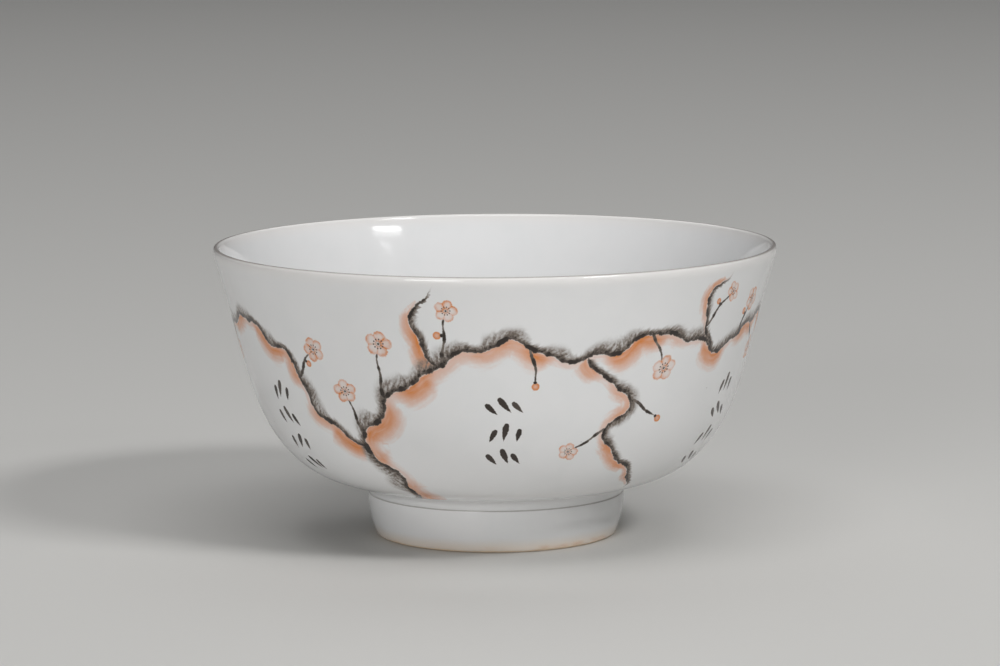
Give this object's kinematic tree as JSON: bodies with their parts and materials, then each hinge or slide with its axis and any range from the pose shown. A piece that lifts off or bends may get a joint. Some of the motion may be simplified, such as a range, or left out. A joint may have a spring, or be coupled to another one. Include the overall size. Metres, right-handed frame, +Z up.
{
  "type": "porcelain bowl",
  "caption": "Round footed porcelain bowl with a gently flared thin lip, painted in ink brown and iron red; it holds food or tea and stands on its foot ring.",
  "frame": {"origin": "centre of the circle that the foot ring stands on", "axes": "+Z up along the bowl's axis of revolution, -Y towards the viewer of the picture, +X to the viewer's right"},
  "size_m": [0.112, 0.112, 0.058],
  "materials": {
    "glaze": "clear glossy glaze on white porcelain, painted with ink-brown seams and iron-red washes; the standing ring is bare, with a pale orange burn line"
  },
  "bodies": {
    "root": {"bowl": "glaze"}
  },
  "joints": []
}
